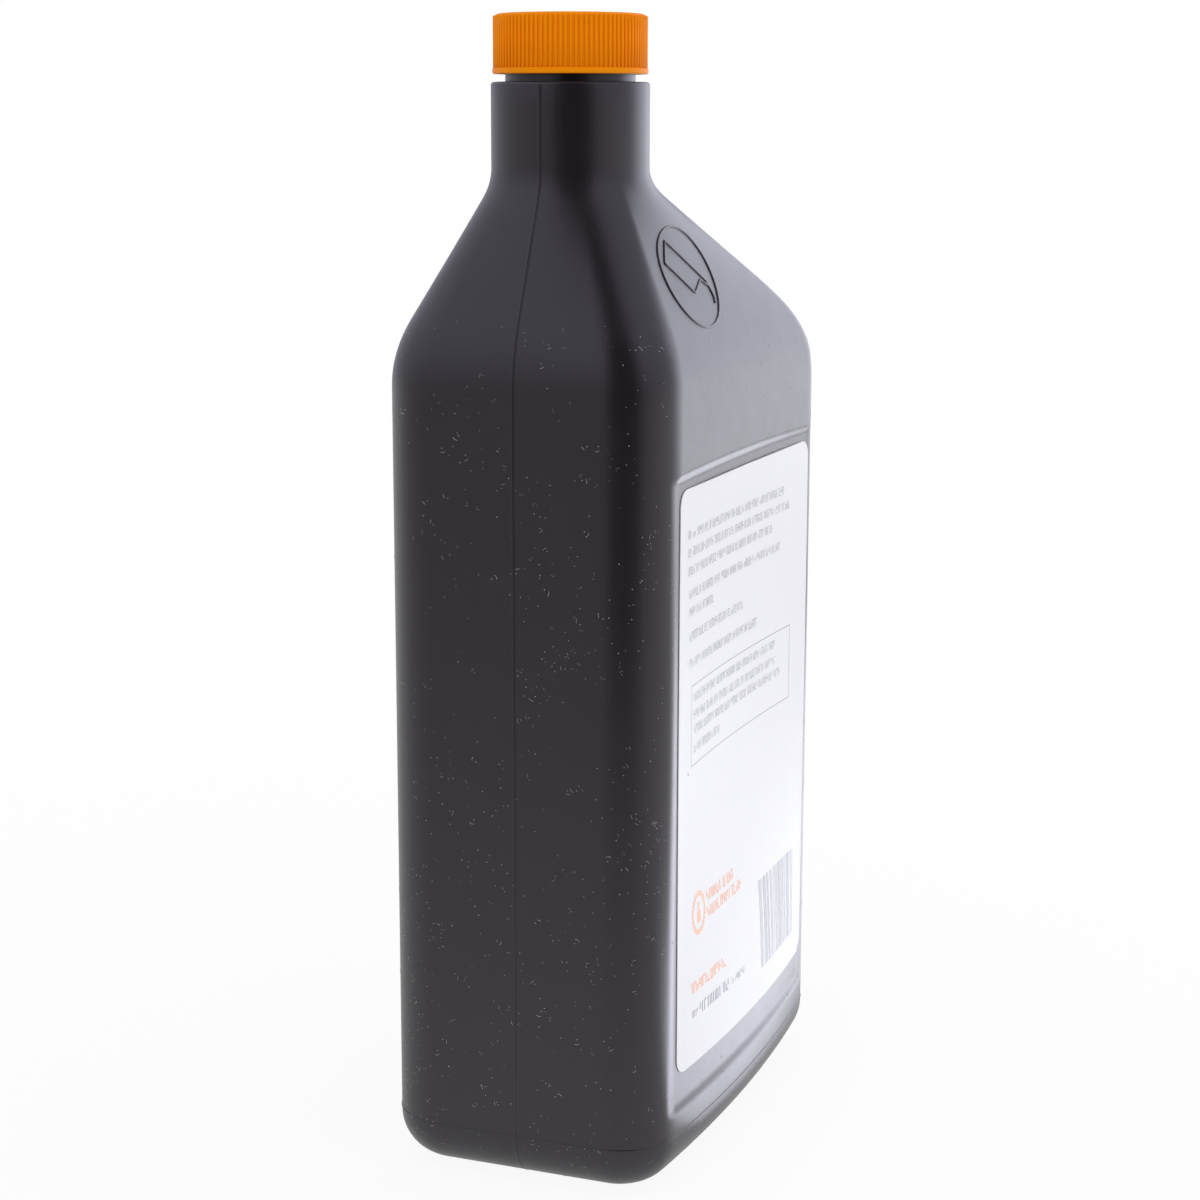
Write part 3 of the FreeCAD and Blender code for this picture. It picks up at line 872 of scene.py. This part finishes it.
@dataclass
class ScrewCap:
    """The ribbed screw cap with its smooth bottom band and inner thread."""

    form: BodyForm
    gap: float = 1.5
    band_radius: float = 15.2
    band_height: float = 1.15
    band_edge: float = 0.25
    rib_radius: float = 15.05
    rib_depth: float = 0.42
    rib_count: int = 96
    rib_width: float = 0.6
    plate: float = 1.3
    edge: float = 0.7
    wall_clearance: float = 0.3
    liner: float = 0.9
    thread_height: float = 0.85
    thread_root: float = 1.9
    thread_tip: float = 0.9
    thread_phase: float = 0.36
    thread_play: float = 0.05
    around: int = 192

    @property
    def bottom(self) -> float:
        """Height of the cap's lower rim."""
        return self.form.collar_top + self.gap

    @property
    def top(self) -> float:
        """Height of the cap's top."""
        return self.form.mouth + self.liner + self.plate

    def ring(self, radius: float, z: float) -> np.ndarray:
        """Return a ring of points round the neck axis."""
        turn = np.linspace(0, 2 * math.pi, self.around, endpoint=False)
        return np.column_stack([self.form.neck + radius * np.cos(turn), radius * np.sin(turn),
                                np.full(self.around, z)])

    def shell(self, neck_thread: BottleShell) -> bpy.types.Mesh:
        """Return the turned body of the cap without its ribs.

        Args:
            neck_thread: the bottle, whose thread sets the bore.

        Returns:
            The closed mesh in metres.
        """
        bore = self.form.finish_radius + neck_thread.thread_height + self.wall_clearance
        ceiling = self.top - self.plate
        wall = self.rib_radius - self.rib_depth
        band_top = self.bottom + self.band_height
        edge = self.band_edge
        profile = [(0.3, ceiling), (bore - 0.5, ceiling), (bore, ceiling - 0.5), (bore, self.bottom + 0.4),
                   (bore + 0.3, self.bottom), (self.band_radius - edge, self.bottom),
                   (self.band_radius, self.bottom + edge), (self.band_radius, band_top - edge),
                   (self.band_radius - edge, band_top), (wall, band_top + 0.05),
                   (wall, self.top - self.edge)]
        for angle in np.linspace(0, math.pi / 2, 7):
            profile.append((wall - self.edge * (1 - math.cos(angle)),
                            self.top - self.edge * (1 - math.sin(angle))))
        profile += [(wall - self.edge - 0.9, self.top), (0.3, self.top)]
        rows = [self.ring(radius, z) for radius, z in profile]
        return grid_mesh("cap_turned", rows, start_pole=True, end_pole=True)

    def rib_tree(self) -> bpy.types.NodeTree:
        """Return the tree that sets round-topped upright ribs in a circle."""
        tree, start = new_geometry_tree("grip_ribs", {
            "Ribs": "NodeSocketInt", "Circle": "NodeSocketFloat", "Rib radius": "NodeSocketFloat",
            "Rib height": "NodeSocketFloat", "Centre": "NodeSocketVector", "Finish": "NodeSocketMaterial"})
        circle = add_node(tree, "GeometryNodeMeshCircle", None,
                          {"Vertices": start.outputs["Ribs"], "Radius": start.outputs["Circle"]})
        bar = add_node(tree, "GeometryNodeMeshCylinder", {"Vertices": 10}, {
            "Radius": start.outputs["Rib radius"], "Depth": start.outputs["Rib height"]})
        end = add_node(tree, "GeometryNodeMeshUVSphere", {"Segments": 10, "Rings": 6},
                       {"Radius": start.outputs["Rib radius"]})
        half = add_node(tree, "ShaderNodeMath", {"operation": "MULTIPLY", 1: 0.5},
                        {0: start.outputs["Rib height"]})
        lift = add_node(tree, "ShaderNodeCombineXYZ", None, {"Z": half.outputs[0]})
        tip = add_node(tree, "GeometryNodeTransform", None,
                       {"Geometry": end.outputs["Mesh"], "Translation": lift.outputs[0]})
        rib = add_node(tree, "GeometryNodeJoinGeometry", None, {"Geometry": bar.outputs["Mesh"]})
        tree.links.new(tip.outputs[0], rib.inputs[0])
        ribs = add_node(tree, "GeometryNodeInstanceOnPoints", None,
                        {"Points": circle.outputs[0], "Instance": rib.outputs[0]})
        moved = add_node(tree, "GeometryNodeTransform", None,
                         {"Geometry": ribs.outputs[0], "Translation": start.outputs["Centre"]})
        close_geometry_tree(tree, moved.outputs[0], start.outputs["Finish"])
        return tree

    def build(self, neck_thread: BottleShell) -> list[bpy.types.Object]:
        """Return the cap's body and its ring of ribs.

        Args:
            neck_thread: the bottle, whose thread the cap's thread follows.

        Returns:
            Two objects in the cap's finish.
        """
        finish = CAP_POLYPROPYLENE.build()
        bore = self.form.finish_radius + neck_thread.thread_height + self.wall_clearance
        drop = neck_thread.thread_pitch * (0.5 - self.thread_phase) + self.thread_play
        thread = helix_mesh("cap_thread", self.form.neck, bore, -self.thread_height, self.thread_root,
                            self.thread_tip, 2 * math.pi * self.thread_phase,
                            self.form.collar_top + neck_thread.thread_low - drop,
                            neck_thread.thread_pitch, 1.0)
        turned = joined_mesh("cap_shell", [self.shell(neck_thread), thread])
        body = place_object("cap_shell", turned, finish)
        low = self.bottom + self.band_height - 0.3
        high = self.top - self.edge * 0.9
        radius = self.rib_width / 2
        ribs = run_geometry_tree("cap_ribs", bpy.data.meshes.new("rib_seed"), self.rib_tree(), {
            "Ribs": self.rib_count, "Circle": (self.rib_radius - radius) * MM, "Rib radius": radius * MM,
            "Rib height": (high - low) * MM,
            "Centre": (self.form.neck * MM, 0.0, (low + high) / 2 * MM), "Finish": finish})
        ribs.data.shade_smooth()
        return [body, ribs]


@dataclass
class BackLabel:
    """The film label on the panel and its print, drawn as plain bars."""

    form: BodyForm
    width: float = 83.4
    shift: float = 1.2
    margin_low: float = 6.6
    margin_high: float = 2.2
    seat: float = 0.02
    thickness: float = 0.15
    corner: float = 3.5
    row_height: float = 1.75
    stroke: float = 0.17
    letter_step: float = 0.42
    low_letter: float = 0.6
    dash_shift: float = 0.7
    dash_length: float = 0.65
    box: tuple[float, float, float, float] = (-31.6, 33.1, 83.9, 100.2)
    box_line: float = 0.17
    dot: tuple[float, float, float, float] = (-33.8, 82.9, 0.6, 0.45)
    code_left: float = 9.1
    code_right: float = 35.6
    code_middle: float = 38.7
    code_height: float = 19.6
    code_unit: float = 0.33
    mark_x: float = -28.5
    mark_z: float = 52.9
    mark_width: float = 3.4
    mark_height: float = 4.0
    mark_bars: int = 26
    accent_height: float = 2.2
    accent_stroke: float = 0.5
    closing_height: float = 2.3
    closing_stroke: float = 0.45
    small_height: float = 1.5
    small_stroke: float = 0.2
    ink_lift: float = 0.03
    columns: int = 70
    seed: int = 11
    text_rows: list[tuple[float, float, float]] = field(default_factory=lambda: [
        (131.0, -35.3, 27.0), (127.4, -35.1, 31.5), (123.7, -34.8, 20.6), (119.0, -33.8, 26.0),
        (115.4, -33.6, -17.3), (110.4, -33.4, 2.6), (105.0, -33.2, 11.7), (97.7, -30.0, 23.7),
        (94.1, -29.9, 23.5), (91.0, -29.8, 27.0), (87.2, -29.7, -12.0)])
    accent_rows: list[tuple[float, float, float]] = field(default_factory=lambda: [
        (54.9, -23.5, -7.2), (51.5, -23.5, -3.2), (38.2, -32.8, -14.2)])
    closing_rows: list[tuple[float, float, float]] = field(default_factory=lambda: [
        (32.9, -28.9, -12.5)])
    small_rows: list[tuple[float, float, float]] = field(default_factory=lambda: [
        (32.7, -32.9, -30.2), (32.7, -10.8, -2.8)])

    @property
    def left(self) -> float:
        """X of the label's left edge."""
        return self.shift - self.width / 2

    @property
    def low(self) -> float:
        """Height of the label's lower edge."""
        return self.form.panel_bottom + self.margin_low

    @property
    def high(self) -> float:
        """Height of the label's upper edge."""
        return self.form.panel_top - self.margin_high

    def film(self) -> bpy.types.Object:
        """Return the white film with rounded corners, following the panel."""
        rows = []
        fine = self.corner / 10
        for z in heights((self.low, fine), (self.low + self.corner, 2.0), (self.high - self.corner, fine),
                         (self.high, 1.0)):
            near_end = min(z - self.low, self.high - z)
            over = max(0.0, self.corner - near_end)
            cut = self.corner - math.sqrt(max(0.0, self.corner ** 2 - over ** 2))
            across = np.linspace(self.left + cut, self.left + self.width - cut, self.columns)
            row = self.form.outline(z)
            side = row[: len(row) // 2]
            skin = np.interp(across, side[:, 0], side[:, 1])
            level = np.full(self.columns, z)
            front = np.column_stack([across, skin - self.seat - self.thickness, level])
            back = np.column_stack([across, skin - self.seat, level])
            rows.append(np.concatenate([front, back[::-1]]))
        mesh = grid_mesh("label_film", rows, start_pole=True, end_pole=True)
        return place_object("label_film", mesh, LABEL_FILM.build())

    def words(self, rows: list[tuple[float, float, float]], tall: float, stroke: float,
              seed: int) -> list[tuple[float, ...]]:
        """Return fine strokes in groups that stand for rows of print without spelling anything.

        Args:
            rows: height, left end and right end of each row.
            tall: height of a row.
            stroke: width of a stroke.
            seed: seed of the groups.

        Returns:
            Middle X, middle Z, width and height of each stroke.
        """
        rng = np.random.default_rng(seed)
        step = tall * self.letter_step
        bars = []
        for z, x, end in rows:
            while x < end - step:
                for _ in range(int(rng.integers(2, 10))):
                    high = tall * float(rng.choice([1.0, 1.0, 1.0, self.low_letter]))
                    lift = (tall - high) / 2 * float(rng.choice([-1, 1]))
                    bars.append((x, z + lift, stroke, high))
                    if rng.random() < 0.5:
                        middle = z + tall * float(rng.choice([-0.45, 0.0, 0.45]))
                        bars.append((x + step * self.dash_shift, middle, step * self.dash_length, stroke))
                    x += step * float(rng.uniform(0.8, 1.25))
                    if x > end:
                        break
                x += step
        return bars

    def frame_lines(self) -> list[tuple[float, ...]]:
        """Return the four thin lines of the box round the lower print."""
        left, right, low, high = self.box
        line = self.box_line
        middle_x, middle_z = (left + right) / 2, (low + high) / 2
        return [(middle_x, low, right - left, line), (middle_x, high, right - left, line),
                (left, middle_z, line, high - low), (right, middle_z, line, high - low)]

    def code_bars(self) -> list[tuple[float, ...]]:
        """Return upright bars of mixed width, without digits."""
        rng = np.random.default_rng(self.seed + 1)
        bars = []
        x = self.code_left
        while x < self.code_right:
            width = self.code_unit * float(rng.choice([1, 1, 2, 3]))
            bars.append((x + width / 2, self.code_middle, width, self.code_height))
            x += width + self.code_unit * float(rng.choice([1, 2, 3]))
        return bars

    def emblem(self) -> list[tuple[float, ...]]:
        """Return a plain round mark of short bars."""
        bars = []
        for turn in np.linspace(0, 2 * math.pi, self.mark_bars, endpoint=False):
            bars.append((self.mark_x + self.mark_width * math.cos(turn),
                         self.mark_z + self.mark_height * math.sin(turn), 0.85, 0.95))
        bars.append((self.mark_x, self.mark_z + 1.0, 0.9, 2.4))
        bars.append((self.mark_x, self.mark_z - 0.9, 2.0, 2.2))
        return bars

    def bar_tree(self) -> bpy.types.NodeTree:
        """Return the tree that turns points with a width and a height into bars laid on the film."""
        tree, start = new_geometry_tree("printed_bars", {
            "Film": "NodeSocketObject", "Lift": "NodeSocketFloat", "Columns": "NodeSocketInt",
            "Rows": "NodeSocketInt", "Finish": "NodeSocketMaterial"})
        size = add_node(tree, "GeometryNodeInputNamedAttribute",
                        {"data_type": "FLOAT_VECTOR", "Name": "bar_size"})
        film = add_node(tree, "GeometryNodeObjectInfo", links={"Object": start.outputs["Film"]})
        flat = add_node(tree, "GeometryNodeMeshGrid", {"Size X": 1.0, "Size Y": 1.0},
                        {"Vertices X": start.outputs["Columns"], "Vertices Y": start.outputs["Rows"]})
        upright = add_node(tree, "GeometryNodeTransform", {"Rotation": (math.pi / 2, 0.0, 0.0)},
                           {"Geometry": flat.outputs["Mesh"]})
        bars = add_node(tree, "GeometryNodeInstanceOnPoints", None, {
            "Points": start.outputs["Geometry"], "Instance": upright.outputs[0],
            "Scale": size.outputs[0]})
        real = add_node(tree, "GeometryNodeRealizeInstances", links={"Geometry": bars.outputs[0]})
        ray = add_node(tree, "GeometryNodeRaycast", {"Ray Direction": (0.0, 1.0, 0.0), "Ray Length": 1.0},
                       {"Target Geometry": film.outputs["Geometry"]})
        away = add_node(tree, "ShaderNodeVectorMath", {"operation": "SCALE"},
                        {0: ray.outputs["Hit Normal"], "Scale": start.outputs["Lift"]})
        raised = add_node(tree, "ShaderNodeVectorMath", {"operation": "ADD"},
                          {0: ray.outputs["Hit Position"], 1: away.outputs[0]})
        laid = add_node(tree, "GeometryNodeSetPosition", None,
                        {"Geometry": real.outputs[0], "Position": raised.outputs[0]})
        close_geometry_tree(tree, laid.outputs[0], start.outputs["Finish"])
        return tree

    def printed(self, name: str, bars: list[tuple[float, ...]], tree: bpy.types.NodeTree,
                film: bpy.types.Object, ink: PlainFinish, columns: int = 2,
                rows: int = 2) -> bpy.types.Object:
        """Return one colour of the print.

        Args:
            name: name of the piece.
            bars: middle X, middle Z, width and height of each bar, in millimetres.
            tree: the tree that lays bars on the film.
            film: the film.
            ink: the finish of the print.
            columns: points across one bar, so that a long one follows the film.
            rows: points up one bar.

        Returns:
            The printed bars as one object.
        """
        seeds = bpy.data.meshes.new(name)
        front = -self.form.depth
        seeds.from_pydata([(x * MM, front * MM, z * MM) for x, z, _, _ in bars], [], [])
        sizes = seeds.attributes.new("bar_size", "FLOAT_VECTOR", "POINT")
        for index, (_, _, width, height) in enumerate(bars):
            sizes.data[index].vector = (width * MM, 1.0, height * MM)
        return run_geometry_tree(name, seeds, tree, {
            "Film": film, "Lift": self.ink_lift * MM, "Columns": columns, "Rows": rows,
            "Finish": ink.build()})

    def build(self) -> list[bpy.types.Object]:
        """Return the film and its print."""
        film = self.film()
        tree = self.bar_tree()
        text = self.words(self.text_rows, self.row_height, self.stroke, self.seed)
        text.append(self.dot)
        accent = self.words(self.accent_rows, self.accent_height, self.accent_stroke, self.seed + 2)
        closing = self.words(self.closing_rows, self.closing_height, self.closing_stroke, self.seed + 3)
        closing += self.words(self.small_rows, self.small_height, self.small_stroke, self.seed + 4)
        return [film,
                self.printed("text_bars", text, tree, film, GREY_INK),
                self.printed("box_lines", self.frame_lines(), tree, film, BAR_INK, 24, 12),
                self.printed("closing_bars", closing, tree, film, DARK_INK),
                self.printed("code_bars", self.code_bars(), tree, film, BAR_INK, 2, 12),
                self.printed("orange_print", self.emblem() + accent, tree, film, ORANGE_INK)]


@dataclass
class SettledDust:
    """Lint and grains that lie on the bottle's skin in drifts."""

    grains: int = 17000
    fibres: int = 5200
    grain_size: float = 0.09
    fibre_radius: float = 0.034
    fibre_length: float = 1.7
    fibre_bend: float = 1.1
    drift: float = 17.0
    top: float = 172.0
    seed: int = 5

    def scatter(self, tree: bpy.types.NodeTree, start: bpy.types.Node, density: str,
                piece: bpy.types.NodeSocket, low: tuple[float, float, float],
                high: tuple[float, float, float]) -> bpy.types.Node:
        """Add the nodes that scatter one kind of piece in drifts on the outer skin.

        Args:
            tree: the tree.
            start: its group input.
            density: name of the input with the pieces per square metre.
            piece: the socket with the piece.
            low: smallest scale of a piece along its axes.
            high: largest scale of a piece.

        Returns:
            The node that sets the pieces.
        """
        surface = add_node(tree, "GeometryNodeObjectInfo", links={"Object": start.outputs["Surface"]})
        place = add_node(tree, "GeometryNodeInputPosition")
        height = add_node(tree, "ShaderNodeSeparateXYZ", None, {0: place.outputs[0]})
        normal = add_node(tree, "GeometryNodeInputNormal")
        facing = add_node(tree, "ShaderNodeVectorMath", {"operation": "DOT_PRODUCT"},
                          {0: place.outputs[0], 1: normal.outputs[0]})
        outer = add_node(tree, "FunctionNodeCompare", {"data_type": "FLOAT", "operation": "GREATER_THAN",
                                                       1: 0.0}, {0: facing.outputs["Value"]})
        below = add_node(tree, "FunctionNodeCompare", {"data_type": "FLOAT", "operation": "LESS_THAN",
                                                       1: self.top * MM}, {0: height.outputs["Z"]})
        both = add_node(tree, "FunctionNodeBooleanMath", {"operation": "AND"},
                        {0: outer.outputs[0], 1: below.outputs[0]})
        drifts = add_node(tree, "ShaderNodeTexNoise", {"Detail": 3.0, "Roughness": 0.65},
                          {"Vector": place.outputs[0], "Scale": start.outputs["Drift scale"]})
        share = add_node(tree, "ShaderNodeMapRange", {"From Min": 0.44, "From Max": 0.7, "To Min": 0.08},
                         {"Value": drifts.outputs[0]})
        local = add_node(tree, "ShaderNodeMath", {"operation": "MULTIPLY"},
                         {0: share.outputs[0], 1: start.outputs[density]})
        points = add_node(tree, "GeometryNodeDistributePointsOnFaces", None, {
            "Mesh": surface.outputs["Geometry"], "Selection": both.outputs[0],
            "Density": local.outputs[0], "Seed": start.outputs["Seed"]})
        turn = add_node(tree, "FunctionNodeRandomValue", {"data_type": "FLOAT", 3: 6.2832},
                        {"Seed": start.outputs["Seed"]})
        spin = add_node(tree, "FunctionNodeRotateRotation", {"rotation_space": "LOCAL"},
                        {"Rotation": points.outputs["Rotation"]})
        around = add_node(tree, "FunctionNodeAxisAngleToRotation", {"Axis": (0.0, 0.0, 1.0)},
                          {"Angle": turn.outputs[1]})
        tree.links.new(around.outputs[0], spin.inputs[1])
        scale = add_node(tree, "FunctionNodeRandomValue", {"data_type": "FLOAT_VECTOR", 0: low, 1: high},
                         {"Seed": start.outputs["Seed"]})
        return add_node(tree, "GeometryNodeInstanceOnPoints", None, {
            "Points": points.outputs["Points"], "Instance": piece, "Rotation": spin.outputs[0],
            "Scale": scale.outputs[0]})

    def tree(self) -> bpy.types.NodeTree:
        """Return the tree that lays flat grains and bent fibres on a surface."""
        tree, start = new_geometry_tree("settled_dust", {
            "Surface": "NodeSocketObject", "Grain density": "NodeSocketFloat",
            "Fibre density": "NodeSocketFloat", "Drift scale": "NodeSocketFloat",
            "Grain": "NodeSocketFloat", "Fibre radius": "NodeSocketFloat",
            "Fibre length": "NodeSocketFloat", "Seed": "NodeSocketInt", "Finish": "NodeSocketMaterial"})
        grain = add_node(tree, "GeometryNodeMeshIcoSphere", {"Subdivisions": 1},
                         {"Radius": start.outputs["Grain"]})
        grains = self.scatter(tree, start, "Grain density", grain.outputs["Mesh"],
                              (0.35, 0.35, 0.2), (1.35, 0.8, 0.4))
        arc = add_node(tree, "GeometryNodeCurveArc", {"Resolution": 8, "Sweep Angle": self.fibre_bend},
                       {"Radius": start.outputs["Fibre length"]})
        section = add_node(tree, "GeometryNodeCurvePrimitiveCircle", {"Resolution": 4},
                           {"Radius": start.outputs["Fibre radius"]})
        fibre = add_node(tree, "GeometryNodeCurveToMesh", {"Fill Caps": True},
                         {"Curve": arc.outputs[0], "Profile Curve": section.outputs[0]})
        fibres = self.scatter(tree, start, "Fibre density", fibre.outputs[0],
                              (0.15, 0.05, 0.6), (0.8, 0.55, 1.0))
        both = add_node(tree, "GeometryNodeJoinGeometry", None, {"Geometry": grains.outputs[0]})
        tree.links.new(fibres.outputs[0], both.inputs[0])
        close_geometry_tree(tree, both.outputs[0], start.outputs["Finish"])
        return tree

    def build(self, shell: bpy.types.Object) -> bpy.types.Object:
        """Return the dust on the bottle."""
        area = sum(polygon.area for polygon in shell.data.polygons) / 2
        return run_geometry_tree("settled_dust", bpy.data.meshes.new("dust_seed"), self.tree(), {
            "Surface": shell, "Grain density": self.grains / area, "Fibre density": self.fibres / area,
            "Drift scale": 1 / (self.drift * MM), "Grain": self.grain_size * MM,
            "Fibre radius": self.fibre_radius * MM, "Fibre length": self.fibre_length * MM,
            "Seed": self.seed, "Finish": LINT.build()})


@dataclass
class Studio:
    """Pale floor, even white surroundings, soft lights and the camera."""

    yaw: float = -68.60
    pitch: float = 11.18
    roll: float = 0.104
    lens: float = 74.8
    camera_place: tuple[float, float, float] = (-483.5, -186.3, 212.1)
    floor_size: float = 6.0
    surroundings: float = 0.72
    cool: tuple[float, float, float] = (0.86, 0.87, 1.0)

    def camera(self) -> None:
        """Put the camera where the photograph was taken from."""
        yaw, pitch, roll = (math.radians(angle) for angle in (self.yaw, self.pitch, self.roll))
        back = Vector((math.sin(yaw) * math.cos(pitch), -math.cos(yaw) * math.cos(pitch), math.sin(pitch)))
        level = (-back).cross(Vector((0, 0, 1))).normalized()
        over = level.cross(-back)
        right = math.cos(roll) * level + math.sin(roll) * over
        up = math.cos(roll) * over - math.sin(roll) * level
        data = bpy.data.cameras.new("camera")
        data.lens = self.lens
        data.sensor_width = 36.0
        data.clip_start = 0.02
        item = bpy.data.objects.new("camera", data)
        turn = Matrix((right, up, back)).transposed().to_4x4()
        item.matrix_world = Matrix.Translation(Vector(self.camera_place) * MM) @ turn
        bpy.context.scene.collection.objects.link(item)
        bpy.context.scene.camera = item

    def floor(self) -> bpy.types.Object:
        """Return the pale floor, which keeps the bottle's shadow and looks white."""
        half = self.floor_size / 2
        mesh = bpy.data.meshes.new("floor")
        mesh.from_pydata([(-half, -half, 0), (half, -half, 0), (half, half, 0), (-half, half, 0)], [],
                         [(0, 1, 2, 3)])
        material = bpy.data.materials.new("pale_floor")
        material.use_nodes = True
        tree = material.node_tree
        tree.nodes.clear()
        place = add_node(tree, "ShaderNodeTexCoord").outputs["Object"]
        away = add_node(tree, "ShaderNodeVectorMath", {"operation": "LENGTH"}, {0: place})
        side = add_node(tree, "ShaderNodeSeparateXYZ", None, {0: place})
        rays = add_node(tree, "ShaderNodeLightPath")
        clear = add_node(tree, "ShaderNodeMapRange",
                         {"From Min": 0.12, "From Max": 0.5, "To Min": 0.92, "To Max": 1.0},
                         {"Value": away.outputs["Value"]})
        shown = add_node(tree, "ShaderNodeMath", {"operation": "MULTIPLY"},
                         {0: rays.outputs["Is Camera Ray"], 1: clear.outputs[0]})
        share = add_node(tree, "ShaderNodeMath", {"operation": "MULTIPLY_ADD", 1: 0.85},
                         {0: rays.outputs["Is Glossy Ray"], 2: shown.outputs[0]})
        mirrored = add_node(tree, "ShaderNodeMapRange",
                            {"From Min": -0.6, "From Max": 0.1, "To Min": 0.35, "To Max": 1.0},
                            {"Value": side.outputs["X"]})
        level = add_node(tree, "ShaderNodeMath", {"operation": "MAXIMUM"},
                         {0: mirrored.outputs[0], 1: rays.outputs["Is Camera Ray"]})
        paint = add_node(tree, "ShaderNodeBsdfDiffuse", {"Color": linear("F0F0F0")})
        glow = add_node(tree, "ShaderNodeEmission", {"Color": (1, 1, 1, 1)}, {"Strength": level.outputs[0]})
        mixed = add_node(tree, "ShaderNodeMixShader", None,
                         {0: share.outputs[0], 1: paint.outputs[0], 2: glow.outputs[0]})
        add_node(tree, "ShaderNodeOutputMaterial", None, {"Surface": mixed.outputs[0]})
        return place_object("floor", mesh, material)

    def world(self) -> None:
        """Make the surroundings white to the eye, plain as a light and dimmer in front in mirrors."""
        world = bpy.data.worlds.new("surroundings")
        world.use_nodes = True
        tree = world.node_tree
        sky = tree.nodes["Background"]
        rays = add_node(tree, "ShaderNodeLightPath")
        way = add_node(tree, "ShaderNodeSeparateXYZ", None,
                       {0: add_node(tree, "ShaderNodeTexCoord").outputs["Generated"]})
        along = add_node(tree, "ShaderNodeMapRange",
                         {"From Min": -1.0, "From Max": 1.0, "To Min": 0.55, "To Max": 1.0},
                         {"Value": way.outputs["X"]})
        climb = add_node(tree, "ShaderNodeMapRange",
                         {"From Min": -1.0, "From Max": 1.0, "To Min": 1.1, "To Max": -0.5},
                         {"Value": way.outputs["X"]})
        above = add_node(tree, "ShaderNodeMath", {"operation": "MULTIPLY_ADD"},
                         {0: way.outputs["Z"], 1: climb.outputs[0], 2: along.outputs[0]})
        overhead = add_node(tree, "ShaderNodeMapRange",
                            {"From Min": 0.8, "From Max": 0.97, "To Min": 1.0, "To Max": 0.3},
                            {"Value": way.outputs["Z"]})
        dimmed = add_node(tree, "ShaderNodeMath", {"operation": "MULTIPLY"},
                          {0: above.outputs[0], 1: overhead.outputs[0]})
        capped = add_node(tree, "ShaderNodeClamp", {"Min": 0.15, "Max": 1.0}, {"Value": dimmed.outputs[0]})
        lit = add_node(tree, "ShaderNodeMix", {"data_type": "FLOAT", 2: self.surroundings},
                       {0: rays.outputs["Is Glossy Ray"], 3: capped.outputs[0]})
        level = add_node(tree, "ShaderNodeMix", {"data_type": "FLOAT", 3: 1.0},
                         {0: rays.outputs["Is Camera Ray"], 2: lit.outputs[0]})
        tint = add_node(tree, "ShaderNodeMix", {"data_type": "RGBA", 6: (1, 1, 1, 1), 7: (*self.cool, 1)},
                        {0: rays.outputs["Is Glossy Ray"]})
        tree.links.new(level.outputs[0], sky.inputs["Strength"])
        tree.links.new(tint.outputs[2], sky.inputs["Color"])
        bpy.context.scene.world = world

    def lamp(self, name: str, place: tuple[float, float, float], size: float,
             power: float) -> bpy.types.Object:
        """Add one soft square lamp that looks at the bottle.

        Args:
            name: name of the lamp.
            place: its place in metres.
            size: side of the square in metres.
            power: power in watts.

        Returns:
            The lamp.
        """
        data = bpy.data.lights.new(name, "AREA")
        data.size = size
        data.energy = power
        data.color = self.cool
        item = bpy.data.objects.new(name, data)
        item.location = place
        item.rotation_euler = (Vector((0, 0, 0.11)) - Vector(place)).to_track_quat("-Z", "Y").to_euler()
        item.visible_camera = False
        bpy.context.scene.collection.objects.link(item)
        return item

    def dark_card(self) -> bpy.types.Object:
        """Return the dark card round the camera that the near corner and the collar mirror."""
        points = [(-0.444, 0.006, 0.002), (-0.274, -0.343, 0.002), (-0.274, -0.343, 1.5),
                  (-0.444, 0.006, 1.5)]
        mesh = bpy.data.meshes.new("dark_card")
        mesh.from_pydata(points, [], [(0, 1, 2, 3)])
        item = place_object("dark_card", mesh, PlainFinish("black_card", "101012", 0.9).build())
        item.visible_camera = False
        item.visible_shadow = False
        item.visible_diffuse = False
        return item

    def build(self) -> list[bpy.types.Object]:
        """Set the camera, the lights and the view, and return floor and card."""
        self.camera()
        self.world()
        self.lamp("side_softbox", (0.55, -0.27, 0.22), 0.6, 1.9)
        table = self.lamp("light_table", (0.23, -0.094, 0.003), 0.5, 0.6)
        table.data.shape = "RECTANGLE"
        table.data.size_y = 0.114
        table.rotation_euler = (math.pi, 0.0, 0.0)
        table.visible_diffuse = False
        above = self.lamp("top_softbox", (-0.2, -0.2, 1.5), 1.0, 4.0)
        above.visible_glossy = False
        bpy.context.scene.view_settings.view_transform = "Standard"
        return [self.floor(), self.dark_card()]


def ride_all(items: list[bpy.types.Object], body: str) -> None:
    """Let pieces ride on one body.

    Args:
        items: the pieces.
        body: name of the body.
    """
    for item in items:
        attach(item, body)
        log.info("%s rides on %s with %d faces", item.name, body, len(item.data.polygons))


def main() -> None:
    """Build every piece round the frame."""
    logging.basicConfig(level=logging.INFO, format="%(name)s: %(message)s")
    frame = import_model()
    form = BodyForm()

    bottle = BottleShell(form)
    shell = bottle.build()
    bottle.dress(shell)
    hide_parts("bottle")
    ride_all([shell], "bottle_body")

    marks = MouldMarks(form).build()
    marks.data.materials.append(shell.data.materials[0])
    sign = RaisedSign(form).build(shell)
    ride_all([marks, sign], "bottle_body")

    cap_pieces = ScrewCap(form).build(bottle)
    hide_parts("cap")
    ride_all(cap_pieces, "cap_body")

    liner = frame["nodes"]["cap_liner"]
    liner.data.materials.clear()
    liner.data.materials.append(LINER_FOAM.build())
    log.info("cap_liner keeps its solid in the foam finish")

    label_pieces = BackLabel(form).build()
    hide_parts("back_label")
    ride_all(label_pieces, "bottle_body")

    dust = SettledDust().build(shell)
    ride_all([dust], "bottle_body")

    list(Studio().build())


if __name__ == "__main__":
    main()
